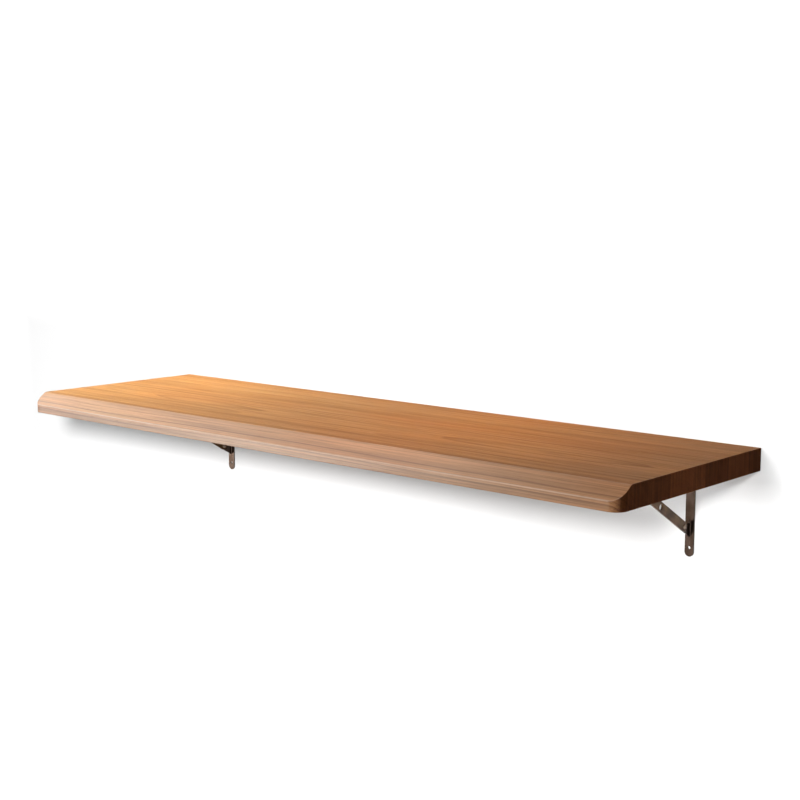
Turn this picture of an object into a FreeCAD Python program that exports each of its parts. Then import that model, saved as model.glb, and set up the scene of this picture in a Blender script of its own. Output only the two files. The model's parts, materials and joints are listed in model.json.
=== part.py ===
import FreeCAD
import Part

import math
import os

# Floating wall desk: an edge-glued solid wood top on two folding flat-bar brackets.
#
# Units are millimetres.  X runs along the wall, +Y points into the wall, +Z is up.
# The origin is the centre of the four wall screw holes, on the face of the wall.
# Places are given as a reach out from the wall and a drop below the work surface.

# --- Wooden top ----------------------------------------------------------------
top_length = 2000.0
top_thickness = 54.0
stave_widths = (58.0, 93.0, 101.0, 144.0, 74.0, 117.0)  # rear to front
wall_gap = 2.0  # between the wall and the rear edge of the top
bevel_run = 43.0  # width of the sloping front edge, seen from above
bevel_drop = 31.0  # height of the sloping front edge
bevel_crown = 20.0  # radius where the slope leaves the flat surface
lip_radius = 3.0  # radius where the slope meets the upright front face
corner_radius = 30.0  # front corners, seen from above
edge_break = 1.0  # small chamfer round the underside

# --- Flat bar and where the brackets stand ---------------------------------------
bar_width = 24.0
bar_thickness = 4.0
inset_left = 196.0  # bracket centre to the left end of the top
inset_right = 177.0  # bracket centre to the right end of the top

# --- Wall arm --------------------------------------------------------------------
wall_arm_length = 219.0
wall_arm_gap = 8.0  # from the shelf arm down to the wall arm's upper end
upper_hole_inset = 53.0
lower_hole_inset = 22.0
wall_hole_diameter = 7.0

# --- Shelf arm and its screws ----------------------------------------------------
shelf_arm_start = 10.0  # reach of the rear end
shelf_arm_length = 420.0
screw_count = 3
first_screw_inset = 70.0  # from the arm's rear end
screw_pitch = 138.0
screw_length = 35.0
screw_diameter = 5.0
screw_head_diameter = 10.0
screw_head_height = 2.6
pilot_extra_depth = 2.5  # of the pilot hole past the screw's point

# --- Fold hinge at the wall ------------------------------------------------------
hinge_reach = 26.0
hinge_drop = 30.0  # below the shelf arm's lower face
hinge_lug_thickness = 4.0
hinge_lug_nose = 10.0
hinge_lug_height = 38.0  # along the wall arm
hinge_lug_rise = 18.0  # its upper end above the hinge axis
ear_thickness = 3.0
ear_nose = 11.0
ear_rear_length = 12.0  # foot on the shelf arm, behind the hinge axis
ear_front_length = 22.0  # foot on the shelf arm, in front of the hinge axis

# --- Strut -----------------------------------------------------------------------
strut_thickness = 4.0
pivot_reach = 39.0
pivot_height = 80.5  # above the wall arm's lower end
strut_lug_thickness = 4.0
strut_lug_nose = 10.0
strut_lug_rise = 1.0  # its upper end above the pivot, along the wall arm
strut_lug_height = 33.0
finger_hole_diameter = 14.0
finger_hole_offset = 126.0  # from the pivot, along the strut

# --- Catch under the top ---------------------------------------------------------
catch_reach = 254.5  # of the catch pin
catch_drop = 16.0  # of the catch pin, below the shelf arm's lower face
catch_thickness = 4.0
catch_depth = 28.0
catch_rear_length = 26.0  # behind the catch pin
catch_front_length = 34.0  # in front of the catch pin, at the shelf arm
catch_hook_length = 13.0  # in front of the catch pin, at the lower edge
catch_rear_slope = 14.0  # how far the lower edge starts in front of the rear end
catch_corner = 3.0
catch_free_fold = 12.0  # degrees the top has folded by when the pin is out of the plate
catch_pin_diameter = 8.0
catch_pin_length = 6.3  # that stands out of the strut

# --- Rivets and running clearances -----------------------------------------------
rivet_diameter = 8.0
rivet_head_diameter = 12.0
rivet_head_height = 3.5
side_clearance = 0.3  # between faces that slide past each other
bore_clearance = 0.06  # radial, round a shank that its bore turns on
pilot_clearance = 0.05  # radial, round a screw in the wood
slot_clearance = 0.8  # round the catch pin's way out
weld_leg = 2.0

# --- Derived sizes ---------------------------------------------------------------
fold_angle = 90.0
top_depth = sum(stave_widths)
bar_end_radius = bar_width / 2
arm_underside_drop = top_thickness + bar_thickness
wall_arm_top_drop = arm_underside_drop + wall_arm_gap
wall_arm_low_drop = wall_arm_top_drop + wall_arm_length
upper_hole_drop = wall_arm_top_drop + upper_hole_inset
lower_hole_drop = wall_arm_low_drop - lower_hole_inset
surface_height = (upper_hole_drop + lower_hole_drop) / 2
bracket_span = top_length - inset_left - inset_right
bracket_x = {"left": -bracket_span / 2, "right": bracket_span / 2}
top_start_x = bracket_x["left"] - inset_left
front_reach = wall_gap + top_depth

hinge_axis = (hinge_reach, arm_underside_drop + hinge_drop)
pivot_axis = (pivot_reach, wall_arm_low_drop - pivot_height)
catch_axis = (catch_reach, arm_underside_drop + catch_drop)
strut_run = catch_axis[0] - pivot_axis[0]
strut_rise = pivot_axis[1] - catch_axis[1]
strut_length = math.hypot(strut_run, strut_rise)
strut_angle = math.degrees(math.atan2(strut_rise, strut_run))
strut_ratio = (fold_angle + strut_angle) / fold_angle  # strut's turn for the top's

strut_x = strut_lug_thickness / 2 + side_clearance  # inner face, from the bracket centre
ear_x = hinge_lug_thickness / 2 + side_clearance


def place(x, reach, drop):
    """The point at x, a reach out from the wall and a drop below the work surface."""
    return FreeCAD.Vector(x, -reach, surface_height - drop)


def line(x, start, end):
    """A straight edge in the plane of x, between two places given as (reach, drop)."""
    return Part.LineSegment(place(x, *start), place(x, *end)).toShape()


def arc(x, start, middle, end):
    """A circular edge in the plane of x, through three places given as (reach, drop)."""
    return Part.Arc(place(x, *start), place(x, *middle), place(x, *end)).toShape()


def polygon(x, corners):
    """The closed chain of straight edges through corners, in the plane of x."""
    following = corners[1:] + corners[:1]
    return [line(x, start, end) for start, end in zip(corners, following)]


def stadium(x, start, end, radius):
    """The closed outline with full-round ends about start and end, in the plane of x."""
    length = math.hypot(end[0] - start[0], end[1] - start[1])
    along = ((end[0] - start[0]) / length * radius, (end[1] - start[1]) / length * radius)
    across = (-along[1], along[0])
    one_side = [(point[0] + across[0], point[1] + across[1]) for point in (start, end)]
    other_side = [(point[0] - across[0], point[1] - across[1]) for point in (start, end)]
    start_tip = (start[0] - along[0], start[1] - along[1])
    end_tip = (end[0] + along[0], end[1] + along[1])
    return [
        line(x, one_side[0], one_side[1]),
        arc(x, one_side[1], end_tip, other_side[1]),
        line(x, other_side[1], other_side[0]),
        arc(x, other_side[0], start_tip, one_side[0]),
    ]


def plate(edges, x, thickness):
    """The solid that a closed chain of edges in the plane of x sweeps along +X."""
    return Part.Face(Part.Wire(edges)).extrude(FreeCAD.Vector(thickness, 0, 0))


def pin(x, axis, radius, length):
    """A round bar along +X, from x."""
    return Part.makeCylinder(radius, length, place(x, *axis), FreeCAD.Vector(1, 0, 0))


def tangent_point(point, centre, radius, side):
    """Where the line from point touches a circle, on one side of it (+1 or -1)."""
    across, down = point[0] - centre[0], point[1] - centre[1]
    turn = side * math.acos(radius / math.hypot(across, down))
    angle = math.atan2(down, across) + turn
    return centre[0] + radius * math.cos(angle), centre[1] + radius * math.sin(angle)


def nosed_plate(x, thickness, foot_start, foot_end, axis, nose):
    """A lug with a straight foot and a round nose about an axis.

    The foot runs clockwise to the nose as it is seen from +X, in reach and drop.
    """
    leave = tangent_point(foot_end, axis, nose, 1)
    arrive = tangent_point(foot_start, axis, nose, -1)
    foot_middle = ((foot_start[0] + foot_end[0]) / 2, (foot_start[1] + foot_end[1]) / 2)
    out = (axis[0] - foot_middle[0], axis[1] - foot_middle[1])
    scale = nose / math.hypot(*out)
    tip = (axis[0] + out[0] * scale, axis[1] + out[1] * scale)
    edges = [
        line(x, foot_start, foot_end),
        line(x, foot_end, leave),
        arc(x, leave, tip, arrive),
        line(x, arrive, foot_start),
    ]
    return plate(edges, x, thickness)


def weld(x, side, drop_start, drop_end):
    """A fillet weld along a lug's foot, on the wall arm's face, on one side of the lug."""
    corner = place(x, bar_thickness, drop_start)
    on_arm = corner + FreeCAD.Vector(side * weld_leg, 0, 0)
    on_lug = corner + FreeCAD.Vector(0, -weld_leg, 0)
    outline = Part.makePolygon([corner, on_arm, on_lug, corner])
    return Part.Face(outline).extrude(FreeCAD.Vector(0, 0, drop_start - drop_end))


def round_ended_bar(length):
    """A flat bar with full-round ends, lying along +Y from the origin, centred across X."""
    rear = Part.makeCylinder(bar_end_radius, bar_thickness)
    front = rear.translated(FreeCAD.Vector(0, length - bar_width, 0))
    corner = FreeCAD.Vector(-bar_end_radius, 0, 0)
    middle = Part.makeBox(bar_width, length - bar_width, bar_thickness, corner)
    bar = middle.fuse([rear, front]).removeSplitter()
    return bar.translated(FreeCAD.Vector(0, bar_end_radius, 0))


# --- Wooden top ----------------------------------------------------------------


def top_blank():
    """The glued-up top before its front edge is shaped: rounded front corners in plan."""
    blank = Part.makeBox(
        top_length, top_depth, top_thickness, place(top_start_x, front_reach, top_thickness)
    )
    upright = [
        edge
        for edge in blank.Edges
        if abs(edge.Vertexes[0].Y + front_reach) < edge_break
        and abs(edge.Vertexes[1].Y + front_reach) < edge_break
        and abs(edge.Vertexes[0].X - edge.Vertexes[1].X) < edge_break
    ]
    blank = blank.makeFillet(corner_radius, upright)
    low = surface_height - top_thickness
    underside = [edge for edge in blank.Edges if abs(edge.BoundBox.ZMax - low) < edge_break / 2]
    return blank.makeChamfer(edge_break, underside)


def bevel_cutter():
    """What the shaping of the front edge takes off: a slope with a soft crown and lip."""
    slope = math.atan2(bevel_drop, bevel_run)
    crown_cut = bevel_crown * math.tan(slope / 2)
    lip_cut = lip_radius * math.tan((math.pi / 2 - slope) / 2)
    crown = (front_reach - bevel_run, 0.0)
    lip = (front_reach, bevel_drop)
    along = (math.cos(slope), math.sin(slope))
    crown_start = (crown[0] - crown_cut, crown[1])
    crown_end = (crown[0] + crown_cut * along[0], crown[1] + crown_cut * along[1])
    lip_start = (lip[0] - lip_cut * along[0], lip[1] - lip_cut * along[1])
    lip_end = (lip[0], lip[1] + lip_cut)
    crown_middle = (
        crown_start[0] + bevel_crown * math.sin(slope / 2),
        bevel_crown * (1 - math.cos(slope / 2)),
    )
    lip_turn = (slope + math.pi / 2) / 2
    lip_middle = (
        lip_end[0] - lip_radius * (1 - math.sin(lip_turn)),
        lip_end[1] - lip_radius * math.cos(lip_turn),
    )
    beyond = bevel_run
    x = top_start_x - beyond
    edges = [
        arc(x, crown_start, crown_middle, crown_end),
        line(x, crown_end, lip_start),
        arc(x, lip_start, lip_middle, lip_end),
        line(x, lip_end, (lip_end[0] + beyond, lip_end[1])),
        line(x, (lip_end[0] + beyond, lip_end[1]), (lip_end[0] + beyond, -beyond)),
        line(x, (lip_end[0] + beyond, -beyond), (crown_start[0], -beyond)),
        line(x, (crown_start[0], -beyond), crown_start),
    ]
    return plate(edges, x, top_length + 2 * beyond)


def screw_places(side):
    """The reach of each screw through one shelf arm."""
    first = shelf_arm_start + first_screw_inset
    return [
        (bracket_x[side], first + index * screw_pitch) for index in range(screw_count)
    ]


def pilot_holes():
    """The screws' pilot holes in the wood, under both arms."""
    depth = screw_length - bar_thickness + pilot_extra_depth
    radius = screw_diameter / 2 + pilot_clearance
    return [
        Part.makeCylinder(radius, depth, place(x, reach, top_thickness))
        for side in bracket_x
        for x, reach in screw_places(side)
    ]


def staves():
    """The top, cut into the staves that it is glued from, rear to front."""
    panel = top_blank().cut(bevel_cutter()).cut(Part.makeCompound(pilot_holes()))
    made = {}
    reach = wall_gap
    for number, width in enumerate(stave_widths, start=1):
        reach += width
        strip = Part.makeBox(
            top_length, width, top_thickness, place(top_start_x, reach, top_thickness)
        )
        made[f"stave_{number}"] = panel.common(strip)
    return made


# --- Bracket ---------------------------------------------------------------------


def wall_arm(side):
    """Flat bar that is screwed to the wall through its two holes."""
    x = bracket_x[side]
    arm = round_ended_bar(wall_arm_length)
    arm.rotate(FreeCAD.Vector(0, 0, 0), FreeCAD.Vector(1, 0, 0), -90)
    arm.translate(place(x, bar_thickness, wall_arm_top_drop))
    into_wall = FreeCAD.Vector(0, 1, 0)
    for drop in (upper_hole_drop, lower_hole_drop):
        face = place(x, bar_thickness, drop)
        arm = arm.cut(Part.makeCylinder(wall_hole_diameter / 2, bar_thickness, face, into_wall))
    return arm


def wall_lug(side, thickness, axis, nose, rise, height):
    """Lug that is welded upright to the wall arm and carries a pin on its axis."""
    x = bracket_x[side] - thickness / 2
    upper = (bar_thickness, axis[1] - rise)
    lower = (bar_thickness, axis[1] - rise + height)
    lug = nosed_plate(x, thickness, lower, upper, axis, nose)
    welds = [weld(x, -1, upper[1], lower[1]), weld(x + thickness, 1, upper[1], lower[1])]
    return lug.fuse(welds).cut(pin(x, axis, rivet_diameter / 2, thickness))


def hinge_lug(side):
    """Lug at the top of the wall arm, which the top folds on."""
    return wall_lug(
        side, hinge_lug_thickness, hinge_axis, hinge_lug_nose, hinge_lug_rise, hinge_lug_height
    )


def strut_lug(side):
    """Lug low on the wall arm, which the strut swings on."""
    return wall_lug(
        side, strut_lug_thickness, pivot_axis, strut_lug_nose, strut_lug_rise, strut_lug_height
    )


def shelf_arm(side):
    """Flat bar that is screwed up into the top, with a countersunk hole for each screw."""
    x = bracket_x[side]
    arm = round_ended_bar(shelf_arm_length)
    arm.rotate(FreeCAD.Vector(0, 0, 0), FreeCAD.Vector(0, 0, 1), 180)
    arm.translate(place(x, shelf_arm_start, arm_underside_drop))
    shank = screw_diameter / 2 + pilot_clearance
    head = screw_head_diameter / 2 + pilot_clearance
    for hole_x, reach in screw_places(side):
        foot = place(hole_x, reach, arm_underside_drop)
        arm = arm.cut(Part.makeCylinder(shank, bar_thickness, foot))
        arm = arm.cut(Part.makeCone(head, shank, screw_head_height, foot))
    return arm


def hinge_ear(side, start):
    """An ear under the shelf arm that turns on the hinge pin, from start off the centre."""
    x = bracket_x[side] + start
    rear = (hinge_axis[0] - ear_rear_length, arm_underside_drop)
    front = (hinge_axis[0] + ear_front_length, arm_underside_drop)
    ear = nosed_plate(x, ear_thickness, rear, front, hinge_axis, ear_nose)
    return ear.cut(pin(x, hinge_axis, rivet_diameter / 2 + bore_clearance, ear_thickness))


def hinge_ear_a(side):
    """The ear on the -X side of the hinge lug."""
    return hinge_ear(side, -ear_x - ear_thickness)


def hinge_ear_b(side):
    """The ear on the +X side of the hinge lug."""
    return hinge_ear(side, ear_x)


def rivet(side, axis, start, end):
    """A rivet that is hammered flush at start and has its head at end."""
    x = bracket_x[side]
    shank = pin(x + start, axis, rivet_diameter / 2, end - start)
    return shank.fuse(pin(x + end, axis, rivet_head_diameter / 2, rivet_head_height))


def hinge_pin(side):
    """The rivet through the hinge lug and both ears."""
    grip = ear_x + ear_thickness + side_clearance
    return rivet(side, hinge_axis, -grip, grip)


def strut_rivet(side):
    """The rivet through the strut lug and the strut."""
    outer = strut_x + strut_thickness + side_clearance
    return rivet(side, pivot_axis, -strut_lug_thickness / 2, outer)


def along_strut(distance):
    """The point of the strut's centreline at a distance from its pivot."""
    angle = math.radians(strut_angle)
    return (
        pivot_axis[0] + distance * math.cos(angle),
        pivot_axis[1] - distance * math.sin(angle),
    )


def strut(side):
    """Flat bar on edge, from the pivot at the wall up to the catch under the top."""
    x = bracket_x[side] + strut_x
    bar = plate(stadium(x, pivot_axis, catch_axis, bar_end_radius), x, strut_thickness)
    holes = [
        pin(x, pivot_axis, rivet_diameter / 2 + bore_clearance, strut_thickness),
        pin(x, catch_axis, catch_pin_diameter / 2, strut_thickness),
        pin(x, along_strut(finger_hole_offset), finger_hole_diameter / 2, strut_thickness),
    ]
    return bar.cut(Part.makeCompound(holes))


def catch_pin(side):
    """Stub pin riveted flush into the strut's upper end, which the catch plate seats on."""
    x = bracket_x[side] + strut_x - catch_pin_length
    return pin(x, catch_axis, catch_pin_diameter / 2, catch_pin_length + strut_thickness)


def turned(point, axis, degrees):
    """A point turned about an axis, from the outward direction towards down."""
    angle = math.radians(degrees)
    out, down = point[0] - axis[0], point[1] - axis[1]
    return (
        axis[0] + out * math.cos(angle) - down * math.sin(angle),
        axis[1] + out * math.sin(angle) + down * math.cos(angle),
    )


def catch_pin_seen_from_top(fold):
    """Where the catch pin is against the top, after the top has folded by some degrees."""
    swung = turned(catch_axis, pivot_axis, fold * strut_ratio)
    return turned(swung, hinge_axis, -fold)


def catch_slot(x):
    """The catch pin's seat, open along the way that the pin leaves as the top folds."""
    radius = catch_pin_diameter / 2 + slot_clearance
    free = catch_pin_seen_from_top(catch_free_fold)
    return plate(stadium(x, catch_axis, free, radius), x, catch_thickness)


def catch_plate(side):
    """Plate under the shelf arm, beside the strut, with the seat for the catch pin."""
    x = bracket_x[side] - catch_thickness / 2
    low = arm_underside_drop + catch_depth
    rear = catch_reach - catch_rear_length
    corners = [
        (rear, arm_underside_drop),
        (catch_reach + catch_front_length, arm_underside_drop),
        (catch_reach + catch_hook_length, low),
        (rear + catch_rear_slope, low),
    ]
    blank = plate(polygon(x, corners), x, catch_thickness)
    lower = [
        edge
        for edge in blank.Edges
        if edge.BoundBox.XLength > catch_thickness / 2
        and edge.BoundBox.ZMax < surface_height - low + catch_corner
    ]
    return blank.makeFillet(catch_corner, lower).cut(catch_slot(x))


def top_screws(side):
    """The countersunk wood screws that hold the top on one shelf arm."""
    shank = screw_diameter / 2
    head = screw_head_diameter / 2
    screws = []
    for x, reach in screw_places(side):
        outline = [
            (0, 0),
            (head, 0),
            (shank, screw_head_height),
            (shank, screw_length),
            (0, screw_length),
            (0, 0),
        ]
        wire = Part.makePolygon([FreeCAD.Vector(r, 0, z) for r, z in outline])
        screw = Part.Face(wire).revolve(FreeCAD.Vector(0, 0, 0), FreeCAD.Vector(0, 0, 1), 360)
        screw.translate(place(x, reach, arm_underside_drop))
        screws.append(screw)
    return Part.makeCompound(screws)


bracket_pieces = {
    "wall_arm": wall_arm,
    "hinge_lug": hinge_lug,
    "strut_lug": strut_lug,
    "hinge_pin": hinge_pin,
    "strut_rivet": strut_rivet,
    "shelf_arm": shelf_arm,
    "hinge_ear_a": hinge_ear_a,
    "hinge_ear_b": hinge_ear_b,
    "catch_plate": catch_plate,
    "top_screws": top_screws,
    "strut": strut,
    "catch_pin": catch_pin,
}


def main():
    os.makedirs("parts", exist_ok=True)
    shapes = staves()
    for side in bracket_x:
        for piece, make in bracket_pieces.items():
            shapes[f"{piece}_{side}"] = make(side)
    for node, shape in shapes.items():
        shape.exportStep(f"parts/{node}.step")


main()
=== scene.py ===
"""The looks of a floating wall desk.

A top of edge-glued timber staves, with a long sloping front edge, folds down on two brackets of
flat steel bar.  Each class below holds one sub-assembly: its sizes as fields, methods that build
its meshes, and methods that dress them.  Lengths are metres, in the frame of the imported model:
X along the wall, +Y into the wall, +Z up.
"""

import json
import logging
import math
from collections.abc import Callable, Iterable
from dataclasses import asdict, dataclass
from enum import Enum, IntEnum

import bmesh
import bpy
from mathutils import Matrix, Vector


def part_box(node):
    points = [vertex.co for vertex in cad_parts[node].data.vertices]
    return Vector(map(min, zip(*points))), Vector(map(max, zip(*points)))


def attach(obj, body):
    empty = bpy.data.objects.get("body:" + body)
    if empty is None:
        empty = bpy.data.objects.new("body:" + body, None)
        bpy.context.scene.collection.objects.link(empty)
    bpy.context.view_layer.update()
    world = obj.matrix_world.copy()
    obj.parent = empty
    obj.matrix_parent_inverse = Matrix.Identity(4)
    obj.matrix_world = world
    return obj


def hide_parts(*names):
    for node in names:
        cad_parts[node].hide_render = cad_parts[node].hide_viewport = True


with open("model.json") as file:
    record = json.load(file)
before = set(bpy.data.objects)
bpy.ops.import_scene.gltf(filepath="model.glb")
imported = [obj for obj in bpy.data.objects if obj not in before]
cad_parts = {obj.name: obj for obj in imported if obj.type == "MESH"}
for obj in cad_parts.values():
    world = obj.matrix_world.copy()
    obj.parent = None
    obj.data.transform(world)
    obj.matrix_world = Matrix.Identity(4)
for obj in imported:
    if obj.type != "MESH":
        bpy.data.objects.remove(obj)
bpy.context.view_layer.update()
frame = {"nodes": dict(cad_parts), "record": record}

log = logging.getLogger("desk")

MM = 0.001

Piece = bpy.types.Object
Material = bpy.types.Material
Tree = bpy.types.NodeTree
Socket = bpy.types.NodeSocket
Value = float | Socket
Inputs = dict[str | int, object]
Point = tuple[float, float, float]
Colour = tuple[float, float, float]


class Side(Enum):
    """The two brackets, by the end of the desk that each is nearer to."""

    LEFT = "left"
    RIGHT = "right"


class Face(IntEnum):
    """The kinds of face of the wooden top, by the place of each one's finish in the list."""

    EDGE = 0
    WORK_SURFACE = 1
    SAWN_END = 2
    FRONT_ARRIS = 3


class Direction(Enum):
    """The way a bar's brushing runs, as its slope away from level in the plane across X."""

    UPRIGHT = math.radians(90.0)
    OUTWARD = 0.0


def paint(red: int, green: int, blue: int) -> Colour:
    """A colour given as it looks on a screen, as the linear values that a shader works in.

    Args:
        red: 0 to 255.
        green: 0 to 255.
        blue: 0 to 255.

    Returns:
        Linear red, green and blue, 0 to 1.
    """

    def linear(channel: int) -> float:
        """The light that a channel's level on a screen stands for."""
        share = channel / 255.0
        return share / 12.92 if share <= 0.04045 else ((share + 0.055) / 1.055) ** 2.4

    return linear(red), linear(green), linear(blue)


# --- Building node trees ---------------------------------------------------------------------


class Graph:
    """Adds nodes and links to one node tree, so that a pattern reads as a formula."""

    def __init__(self, tree: Tree) -> None:
        """Starts with an empty tree."""
        self.tree = tree
        tree.nodes.clear()

    def feed(self, target: Socket, value: object) -> None:
        """Links a socket to a target, or sets a plain value on it.

        Args:
            target: the input.
            value: a socket, or what the input takes.
        """
        if isinstance(value, Socket):
            self.tree.links.new(value, target)
        else:
            target.default_value = (*value, 1.0) if target.type == "RGBA" else value

    def node(self, kind: str, inputs: Inputs | None = None, **settings: object) -> bpy.types.Node:
        """Adds a node.

        Args:
            kind: Blender's name of the node's type.
            inputs: what goes into it, by its inputs' names or places.
            settings: the node's own properties.

        Returns:
            The node.
        """
        made = self.tree.nodes.new(kind)
        for name, value in settings.items():
            setattr(made, name, value)
        for name, value in (inputs or {}).items():
            self.feed(made.inputs[name], value)
        return made

    def out(self, kind: str, inputs: Inputs | None = None, **settings: object) -> Socket:
        """Adds a node, and gives its first output."""
        return self.node(kind, inputs, **settings).outputs[0]

    def show(self, surface: Socket, output: str = "ShaderNodeOutputMaterial") -> None:
        """Sends a surface to the material's output, or to the world's."""
        self.node(output, {"Surface": surface})

    def math(self, operation: str, *values: Value) -> Socket:
        """Works out one to three values, by an operation such as ADD or MULTIPLY_ADD."""
        return self.out("ShaderNodeMath", dict(enumerate(values)), operation=operation)

    def remap(self, value: Value, low: float, high: float, to: tuple[float, float]) -> Socket:
        """Fits a value from low..high to a new range, held to its ends, with a smooth step."""
        ends = dict(enumerate((value, low, high, *to)))
        return self.out("ShaderNodeMapRange", ends, interpolation_type="SMOOTHSTEP")

    def mix(self, share: Value, first: object, second: object, blend: str = "MIX") -> Socket:
        """Mixes a share of a second colour into a first, in the way that Blender calls blend."""
        parts = {"Factor": share, 6: first, 7: second}
        return self.node("ShaderNodeMix", parts, data_type="RGBA", blend_type=blend).outputs[2]

    def noise(
        self, place: Socket, scale: Point, detail: float = 2.0, roughness: float = 0.5
    ) -> Socket:
        """Solid noise, from 0 to 1, centred on 0.5.

        Args:
            place: where in it.
            scale: how fast it changes along each axis, in changes a metre.
            detail: the octaves of finer noise in it.
            roughness: how strong they are.

        Returns:
            The noise.
        """
        scaled = self.out("ShaderNodeVectorMath", {0: place, 1: scale}, operation="MULTIPLY")
        parts = {"Vector": scaled, "Scale": 1.0, "Detail": detail, "Roughness": roughness}
        return self.out("ShaderNodeTexNoise", parts, noise_dimensions="3D")

    def wave(self, place: Value, detail: float = 1.0) -> Socket:
        """Noise along a line, from 0 to 1, centred on 0.5."""
        parts = {"W": place, "Scale": 1.0, "Detail": detail}
        return self.out("ShaderNodeTexNoise", parts, noise_dimensions="1D")

    def centred(self, noise: Socket) -> Socket:
        """Noise moved to be centred on 0."""
        return self.math("SUBTRACT", noise, 0.5)


FLOAT, COLOUR, VECTOR = "NodeSocketFloat", "NodeSocketColor", "NodeSocketVector"
GEOMETRY, MATERIAL = "NodeSocketGeometry", "NodeSocketMaterial"


def new_group(
    name: str, inputs: dict[str, object], outputs: dict[str, str], kind: str = "ShaderNodeTree"
) -> tuple[Graph, dict[str, Socket], dict[str, Socket]]:
    """Starts a node group.

    Args:
        name: the group's name.
        inputs: each input's name with its default value, or with its socket type if it has none.
        outputs: each output's name with its socket type.
        kind: Blender's name of the kind of tree.

    Returns:
        The graph, the inputs' sockets and the outputs' sockets, by name.
    """
    tree = bpy.data.node_groups.new(name, kind)
    graph = Graph(tree)
    for label, value in inputs.items():
        bare, colour = isinstance(value, str), isinstance(value, tuple)
        socket_type = value if bare else COLOUR if colour else FLOAT
        made = tree.interface.new_socket(label, in_out="INPUT", socket_type=socket_type)
        if not bare:
            made.default_value = (*value, 1.0) if colour else value
    for label, socket_type in outputs.items():
        tree.interface.new_socket(label, in_out="OUTPUT", socket_type=socket_type)
    entry, leave = graph.node("NodeGroupInput"), graph.node("NodeGroupOutput")
    return (
        graph,
        {label: entry.outputs[label] for label in inputs},
        {label: leave.inputs[label] for label in outputs},
    )


def new_material(name: str) -> tuple[Material, Graph]:
    """Starts a material.

    Args:
        name: its name.

    Returns:
        The material and its graph, which is empty.
    """
    made = bpy.data.materials.new(name)
    made.use_nodes = True
    return made, Graph(made.node_tree)


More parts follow.
